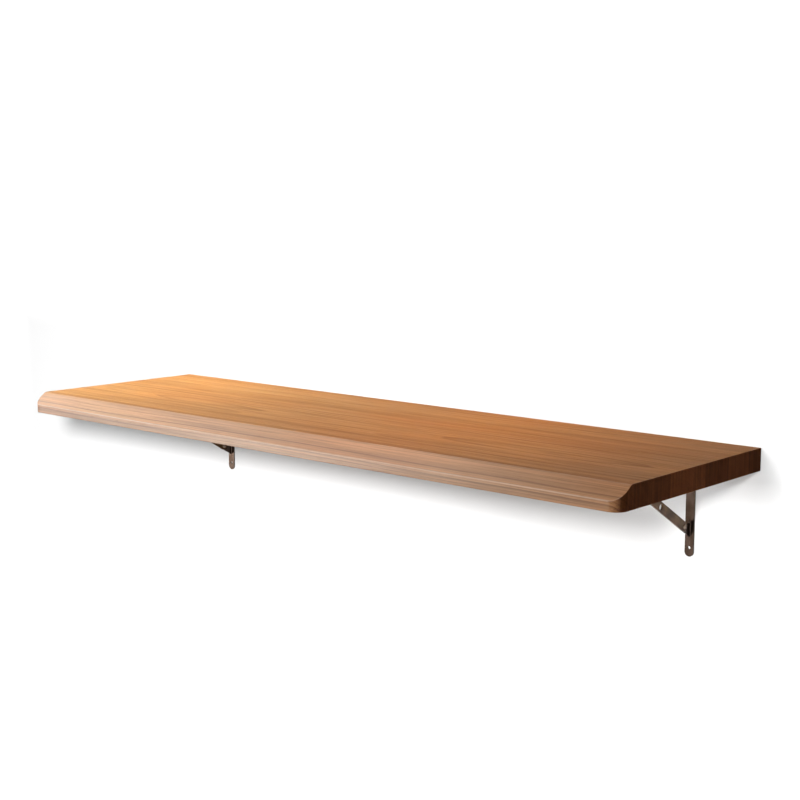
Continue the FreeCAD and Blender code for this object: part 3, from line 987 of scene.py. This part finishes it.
@dataclass
class Fixings:
    """What holds the two brackets together and to the top: rivets, pins, screws and welds.

    Attributes:
        head_radius: the radius of a rivet's head.
        head_height: its height.
        shank_radius: the radius of a rivet's shank, and of a catch pin's.
        button_radius: the radius of a catch pin's hammered end, outside the strut.
        button_height: its height.
        screws_a_side: the wood screws through one shelf arm.
        screw_radius: the radius of a screw's head.
        screw_length: its length, from its head's face to its tip.
        screw_sunk: how far a screw's head is sunk in the shelf arm.
        lug_half: half the thickness of a lug on the wall arm.
        bead: the radius of a weld on the wall arm.
        fine_bead: the radius of a weld under the shelf arm.
        run_in: how far a weld stays back from the ends of its joint.
    """

    head_radius: float = 6.0 * MM
    head_height: float = 3.5 * MM
    shank_radius: float = 3.97 * MM
    button_radius: float = 5.6 * MM
    button_height: float = 0.9 * MM
    screws_a_side: int = 3
    screw_radius: float = 4.98 * MM
    screw_length: float = 34.9 * MM
    screw_sunk: float = 0.05 * MM
    lug_half: float = 2.0 * MM
    bead: float = 1.95 * MM
    fine_bead: float = 1.4 * MM
    run_in: float = 1.2 * MM

    def both(self, piece: str) -> list[str]:
        """The two nodes of one kind, left and right."""
        return [f"{piece}_{side.value}" for side in Side]

    def start_of(self, node: str) -> Vector:
        """The middle of a pin's end that looks along -X."""
        low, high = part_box(node)
        return Vector((low.x, *((low + high) / 2).yz))

    def settle(self, piece: Piece, nodes: list[str]) -> Piece:
        """Lets a piece ride with the CAD nodes that it stands for.

        Args:
            piece: the piece.
            nodes: the nodes.

        Returns:
            The piece.
        """
        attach(piece, body_of(nodes[0]))
        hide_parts(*nodes)
        slot_of(nodes[0])
        return piece

    def pins(self, tree: Tree, steel: Material) -> Iterable[Piece]:
        """Makes the rivets, and the catch pins, whose ends are hammered down on the struts.

        Args:
            tree: the rivet tree.
            steel: their finish.

        Yields:
            The hinge pins as one piece, the strut rivets as one, then each side's catch pin.
        """
        round_head = (self.head_radius, self.head_height, self.head_height)
        button = (self.button_radius, self.button_height, 0.0)
        kinds = ("hinge_pin", "strut_rivet")
        jobs = [(f"{kind}s_turned", self.both(kind), round_head) for kind in kinds]
        jobs += [(f"{node}_turned", [node], button) for node in self.both("catch_pin")]
        for name, nodes, (radius, height, within) in jobs:
            low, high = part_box(nodes[0])
            values = {
                "Shank Radius": self.shank_radius,
                "Grip": high.x - low.x - within,
                "Head Radius": radius,
                "Head Height": height,
                "Material": steel,
            }
            spots = [self.start_of(node) for node in nodes]
            yield self.settle(baked(name, spots, [], tree, values), nodes)

    def screws(self, tree: Tree, steel: Material) -> Piece:
        """Makes the wood screws that hold the top on both shelf arms.

        Args:
            tree: the screw tree.
            steel: their finish.

        Returns:
            All of them as one piece.
        """
        nodes, spots = self.both("top_screws"), []
        for node in nodes:
            low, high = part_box(node)
            first, last = high.y - self.screw_radius, low.y + self.screw_radius
            for number in range(self.screws_a_side):
                reach = first + (last - first) * number / (self.screws_a_side - 1)
                spots.append(Vector(((low.x + high.x) / 2, reach, low.z + self.screw_sunk)))
        values = {
            "Head Radius": self.screw_radius,
            "Length": self.screw_length,
            "Material": steel,
        }
        return self.settle(baked("top_screws_cut", spots, [], tree, values), nodes)

    def wall_runs(self) -> list[Vector]:
        """The weld runs on the wall arms: up both sides of each lug's foot.

        Returns:
            Each run's start and end.
        """
        ends = []
        for node in self.both("hinge_lug") + self.both("strut_lug"):
            low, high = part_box(node)
            middle = (low.x + high.x) / 2
            for face in (middle - self.lug_half, middle + self.lug_half):
                for z in (low.z + self.run_in, high.z - self.run_in):
                    ends.append(Vector((face, high.y, z)))
        return ends

    def arm_runs(self) -> list[Vector]:
        """The weld runs under the shelf arms: beside the ears and the catch plates.

        Returns:
            Each run's start and end.
        """
        ends = []
        faces = (("hinge_ear_a", 0), ("hinge_ear_b", 1), ("catch_plate", 0), ("catch_plate", 1))
        for side in Side:
            for piece, face in faces:
                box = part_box(f"{piece}_{side.value}")
                for y in (box[0].y + self.run_in, box[1].y - self.run_in):
                    ends.append(Vector((box[face].x, y, box[1].z)))
        return ends

    def welds(self, tree: Tree, steel: Material) -> Iterable[Piece]:
        """Makes the weld beads.

        Args:
            tree: the weld tree.
            steel: their finish.

        Yields:
            The beads on the wall arms as one piece, then those under the shelf arms as one.
        """
        jobs = (
            ("lug_welds", "hinge_lug_left", self.wall_runs(), self.bead),
            ("arm_welds", "shelf_arm_left", self.arm_runs(), self.fine_bead),
        )
        for name, carrier, points, radius in jobs:
            edges = [(start, start + 1) for start in range(0, len(points), 2)]
            values = {"Bead Radius": radius, "Material": steel}
            made = baked(name, points, edges, tree, values)
            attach(made, body_of(carrier))
            slot_of(carrier)
            yield made


def bracket_steels(slope: float, brushing: Tree) -> dict[str, Material]:
    """The finish of each bar and plate of a bracket.

    Args:
        slope: the strut's slope from level.
        brushing: the brushing group.

    Returns:
        The materials, by the piece's name.
    """
    # The bars' and the strut's colours are a painted reflection: dark and brown, as the wood above
    # looks mirrored in the steel, not the steel's own grey.
    bar, strut = (paint(80, 66, 58), paint(56, 42, 33)), (paint(92, 68, 44), paint(66, 47, 30))
    relief = 0.01 * MM
    up, out = Direction.UPRIGHT.value, Direction.OUTWARD.value
    upright = Steel("drawn_bar_upright", *bar, grit=0.45, polish=0.10, relief=relief, brushing=up)
    outward = Steel("drawn_bar_outward", *bar, grit=0.6, polish=0.16, relief=relief, brushing=out)
    brushed = Steel("brushed_strut", *strut, grit=0.7, polish=0.16, relief=relief, brushing=slope)
    kinds = {
        upright: ("wall_arm", "hinge_lug", "strut_lug"),
        outward: ("shelf_arm", "hinge_ear_a", "hinge_ear_b", "catch_plate"),
        brushed: ("strut",),
    }
    steels = {}
    for steel, pieces in kinds.items():
        steels.update(dict.fromkeys(pieces, steel.material(brushing)))
    return steels


def fixing_steels(brushing: Tree) -> dict[str, Material]:
    """The finish of each kind of fixing.

    Args:
        brushing: the brushing group.

    Returns:
        The materials, by the kind's name.
    """
    # Each row: colour on the crests and where stained, grit, polish.
    rows = {
        "rivet": ("turned_rivet", paint(146, 130, 116), paint(112, 96, 84), 0.4, 0.14),
        "screw": ("plated_screw", paint(196, 194, 190), paint(160, 158, 152), 0.4, 0.2),
        "weld": ("weld_bead", paint(92, 80, 72), paint(62, 50, 44), 0.9, 0.24),
    }
    relief, level = 0.005 * MM, Direction.OUTWARD.value
    return {kind: Steel(*row, relief, level).material(brushing) for kind, row in rows.items()}


# --- The studio ------------------------------------------------------------------------------


class Shines(Enum):
    """What a lamp is there for."""

    ON_DESK = "on the desk"
    FROM_BEHIND = "on the desk's back and underside, through the wall and the floor"
    ON_BACKDROP = "on the backdrop"
    AS_SHEEN = "as sheen"
    ON_WOOD = "as sheen, on the wood alone"
    AS_TINT = "as coloured light on the desk, with no shine"


@dataclass(frozen=True)
class Lamp:
    """A soft box.

    Attributes:
        name: its name.
        place: where it stands.
        aim: the point that it faces.
        size: its width and height.
        power: its power, in watts.
        colour: the colour of its light.
        spread: the angle that its light fans out over, in degrees.
        use: what it is there for.
    """

    name: str
    place: Point
    aim: Point
    size: tuple[float, float]
    power: float
    colour: Colour = (1.0, 1.0, 1.0)
    spread: float = 180.0
    use: Shines = Shines.ON_DESK

    def build(self, aims: dict[Shines, bpy.types.Collection]) -> None:
        """Makes the lamp.

        Args:
            aims: what a lamp of each use is kept to, where it is kept to anything.
        """
        data = bpy.data.lights.new(self.name, "AREA")
        data.shape = "RECTANGLE"
        data.size, data.size_y = self.size
        data.energy = self.power
        data.color = self.colour
        data.spread = math.radians(self.spread)
        made = bpy.data.objects.new(self.name, data)
        made.location = self.place
        facing = Vector(self.aim) - Vector(self.place)
        made.rotation_euler = facing.to_track_quat("-Z", "Y").to_euler()
        made.visible_camera = False
        made.visible_diffuse = self.use not in (Shines.AS_SHEEN, Shines.ON_WOOD)
        made.visible_glossy = self.use is not Shines.AS_TINT
        if self.use in aims:
            made.light_linking.receiver_collection = aims[self.use]
        if self.use is Shines.FROM_BEHIND:
            made.light_linking.blocker_collection = aims[self.use]
        bpy.context.scene.collection.objects.link(made)


@dataclass(frozen=True)
class Studio:
    """A pale wall and floor, soft boxes, and the air's even light.

    Attributes:
        surface_above_floor: the height of the work surface above the floor.
        reach: how far the wall and the floor run.
        wall_setback: the wall's face, behind the brackets' backs.
        ambient: the strength of the even light.
        white_share: the share of light that the wall and the floor send to the eye.
        bounce_share: the share of light that they send back on the desk.
        wall_glow: how much of the wall's white doesn't wait for the lamps.
        floor_glow: how much of the floor's white doesn't wait for the lamps.
        shadow_run: the middle and half the width of where the wall keeps the desk's shadow.
        shadow_height: the middle and half the height of it.
        fade: how softly the plain white begins beyond it.
        open_air: what lifts the air past the wall and the floor to their white.
        lamps: the soft boxes.
    """

    surface_above_floor: float = 0.75
    reach: float = 12.0
    wall_setback: float = 0.5 * MM
    ambient: float = 0.22
    white_share: float = 0.35
    bounce_share: float = 0.12
    wall_glow: float = 0.322
    floor_glow: float = 0.72
    shadow_run: tuple[float, float] = (0.0, 1.85)
    shadow_height: tuple[float, float] = (0.11, 0.16)
    fade: float = 0.25
    open_air: float = 0.3
    lamps: tuple[Lamp, ...] = ()

    def seen(self, graph: Graph) -> Socket:
        """What the camera sees straight, in a reflection or through glass.

        Args:
            graph: the graph that asks.

        Returns:
            1 for it, and 0 for the rest.
        """
        path = graph.node("ShaderNodeLightPath").outputs
        straight = graph.math("MAXIMUM", path["Is Camera Ray"], path["Is Glossy Ray"])
        return graph.math("MAXIMUM", straight, path["Is Transmission Ray"])

    def beyond(self, graph: Graph) -> Socket:
        """How far a place is past the part of the wall that keeps the desk's shadow.

        Args:
            graph: the graph that asks.

        Returns:
            0 behind the desk and about it, rising to 1 where its shadow never falls.
        """
        where = graph.node("ShaderNodeTexCoord").outputs["Object"]
        x, _, z = graph.node("ShaderNodeSeparateXYZ", {0: where}).outputs
        past = []
        for part, (middle, half) in ((x, self.shadow_run), (z, self.shadow_height)):
            off = graph.math("ABSOLUTE", graph.math("SUBTRACT", part, middle))
            past.append(graph.math("SUBTRACT", off, half))
        return graph.remap(graph.math("MAXIMUM", *past), 0.0, self.fade, (0.0, 1.0))

    def white(self, name: str, own_light: float) -> Material:
        """A matt white that keeps the desk's soft shadow and is clear from its back.

        Args:
            name: the material's name.
            own_light: how much of its white doesn't wait for the lamps, near the desk.

        Returns:
            The material.
        """
        made, graph = new_material(name)
        seen = self.seen(graph)
        grey = graph.remap(seen, 0.0, 1.0, (self.bounce_share, self.white_share))
        share = graph.remap(self.beyond(graph), 0.0, 1.0, (own_light, 1.0))
        strength = graph.math("MULTIPLY", seen, share)
        matt = graph.out("ShaderNodeBsdfDiffuse", {"Color": grey})
        glow = graph.out("ShaderNodeEmission", {"Strength": strength})
        both = graph.out("ShaderNodeAddShader", {0: matt, 1: glow})
        clear = graph.out("ShaderNodeBsdfTransparent")
        back = graph.node("ShaderNodeNewGeometry").outputs["Backfacing"]
        graph.show(graph.out("ShaderNodeMixShader", {0: back, 1: both, 2: clear}))
        return made

    def sheet(self, name: str, edges: tuple[tuple[float, float], ...], glow: float) -> Piece:
        """A flat stage piece that runs along X.

        Args:
            name: its name, after the studio's.
            edges: the Y and Z of its two long edges, so that its face is seen anticlockwise.
            glow: how much of its white doesn't wait for the lamps.

        Returns:
            The piece.
        """
        (first, second), run = edges, self.reach
        corners = [(-run, *first), (run, *first), (run, *second), (-run, *second)]
        mesh = bpy.data.meshes.new(f"studio_{name}")
        mesh.from_pydata(corners, [], [range(len(corners))])
        made = bpy.data.objects.new(f"studio_{name}", mesh)
        bpy.context.scene.collection.objects.link(made)
        dress(made, [self.white(f"{name}_white", glow)])
        return made

    def aim(self, name: str, pieces: Iterable[Piece], state: str) -> bpy.types.Collection:
        """What a lamp is kept to, or kept from.

        Args:
            name: the collection's name.
            pieces: the pieces that it is told by.
            state: INCLUDE to light them alone, or EXCLUDE to light all but them.

        Returns:
            The collection that a lamp is kept to.
        """
        made = bpy.data.collections.new(name)
        for piece in pieces:
            made.objects.link(piece)
        for member in made.collection_objects:
            member.light_linking.link_state = state
        return made

    def build(self, wood: Iterable[Piece]) -> None:
        """Makes the wall, the floor, the lamps and the air's light.

        Args:
            wood: the staves, which alone take the sheen of some cards.
        """
        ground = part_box("stave_1")[1].z - self.surface_above_floor
        run, back = self.reach, self.wall_setback
        backdrop = (
            self.sheet("wall", ((back, ground), (back, run / 2)), self.wall_glow),
            self.sheet("floor", ((-run, ground), (run, ground)), self.floor_glow),
        )
        unlit = self.aim("unlit_backdrop", backdrop, "EXCLUDE")
        aims = {
            Shines.ON_BACKDROP: self.aim("lit_backdrop", backdrop, "INCLUDE"),
            Shines.ON_DESK: unlit,
            Shines.FROM_BEHIND: unlit,
            Shines.AS_TINT: unlit,
            Shines.ON_WOOD: self.aim("varnished_wood", wood, "INCLUDE"),
        }
        for lamp in self.lamps:
            lamp.build(aims)
        world = bpy.data.worlds.new("studio_air")
        world.use_nodes = True
        graph = Graph(world.node_tree)
        even = graph.remap(self.seen(graph), 0.0, 1.0, (self.ambient, 1.0))
        straight = graph.node("ShaderNodeLightPath").outputs["Is Camera Ray"]
        strength = graph.math("MULTIPLY_ADD", straight, self.open_air, even)
        air = graph.out("ShaderNodeBackground", {"Strength": strength})
        graph.show(air, "ShaderNodeOutputWorld")
        bpy.context.scene.world = world
        bpy.context.scene.view_settings.view_transform = "Standard"


@dataclass(frozen=True)
class Viewpoint:
    """Where the desk is looked at from.

    Attributes:
        place: the eye.
        down: the angle that it looks down by, in degrees.
        left: the angle that it is turned left of square to the wall, in degrees.
        lens: the focal length, in millimetres.
        sensor: the width of the sensor, in millimetres.
    """

    place: Point = (2.4756, -2.9219, 0.7653)
    down: float = 8.33
    left: float = 41.51
    lens: float = 63.63
    sensor: float = 36.0

    def build(self) -> None:
        """Makes the camera and looks through it."""
        data = bpy.data.cameras.new("viewpoint")
        data.sensor_width = self.sensor
        data.lens = self.lens
        made = bpy.data.objects.new("viewpoint", data)
        made.location = self.place
        made.rotation_euler = (math.radians(90.0 - self.down), 0.0, math.radians(self.left))
        bpy.context.scene.collection.objects.link(made)
        bpy.context.scene.camera = made


def studio() -> Studio:
    """The studio with its soft boxes.

    Returns:
        The studio, not yet built.
    """
    behind, wall, tint = Shines.FROM_BEHIND, Shines.ON_BACKDROP, Shines.AS_TINT
    sheen, wood = Shines.AS_SHEEN, Shines.ON_WOOD
    pale, amber, cool = (0.97, 1.0, 0.62), (1.0, 0.62, 0.06), (0.9, 0.96, 1.0)
    cream, straw, peach = (1.0, 0.97, 0.92), (1.0, 0.96, 0.86), (1.0, 0.9, 0.78)
    bare, full = (1.0, 1.0, 1.0), 180.0
    card, long, half, spot = (0.9, 0.5), (1.1, 0.5), (0.6, 0.4), (0.34, 0.34)
    # Each row: name, place, aim, width and height, power, colour, spread, use.
    rows = (
        ("front_box", (-0.3, -4.2, 1.36), (0.1, -0.3, 0.1), (2.2, 0.6), 76.0),
        ("back_box", (-1.0, 2.6, -1.5), (0.0, -0.2, 0.1), (1.6, 1.0), 60.0, bare, full, behind),
        ("left_box", (-2.5, -0.75, 1.3), (-0.7, -0.4, 0.19), (0.7, 0.7), 20.0),
        ("warm_box", (-0.85, -0.08, 1.0), (-0.75, -0.25, 0.19), (1.0, 0.2), 22.0, pale, full, tint),
        ("amber_box", (0.3, -0.08, 0.8), (0.2, -0.2, 0.19), (0.6, 0.15), 4.0, amber, full, tint),
        ("lip_card", (-2.4, -1.7, -0.13), (-0.8, -0.6, 0.15), card, 27.0, cream, full, sheen),
        ("far_lip_card", (-1.25, -2.03, -0.22), (0.12, -0.6, 0.15), card, 56.0, straw, full, wood),
        ("slope_card", (-0.78, -0.45, 1.65), (0.2, -0.55, 0.17), long, 19.0, peach, full, wood),
        ("cool_slope_card", (-1.6, -0.47, 1.4), (-0.35, -0.55, 0.17), half, 7.5, cool, full, wood),
        ("edge_box", (2.214, -3.28, 1.039), (-2.486, -0.86, -0.909), spot, 238.0, bare, 89.7, wall),
        ("wash_box", (0.751, -4.682, 0.62), (2.306, 0.0, 0.07), (0.6, 0.6), 49.0, bare, 42.4, wall),
    )
    return Studio(lamps=tuple(Lamp(*row) for row in rows))


def report(kind: str, pieces: Iterable[Piece]) -> list[Piece]:
    """Logs pieces as they are made.

    Args:
        kind: what they are.
        pieces: the pieces.

    Returns:
        The pieces, all made.
    """
    made = []
    for piece in pieces:
        log.info("%s %s with %d faces", kind, piece.name, len(piece.data.polygons))
        made.append(piece)
    return made


def main() -> None:
    """Builds the desk piece by piece, and the studio about it, and reports each piece."""
    logging.basicConfig(level=logging.INFO, format="%(name)s: %(message)s")
    Viewpoint().build()
    grain, brushing = timber_group(), brushing_group()
    staves = report("stave", top().build(grain))
    studio().build(staves)
    steels = bracket_steels(FoldingBracket(Side.RIGHT).strut_slope(), brushing)
    for side in Side:
        report("bracket piece", FoldingBracket(side).build(steels))
    fixings, finish = Fixings(), fixing_steels(brushing)
    report("fixing", fixings.pins(rivet_tree(), finish["rivet"]))
    report("fixing", [fixings.screws(screw_tree(), finish["screw"])])
    report("fixing", fixings.welds(weld_tree(), finish["weld"]))


if __name__ == "__main__":
    main()
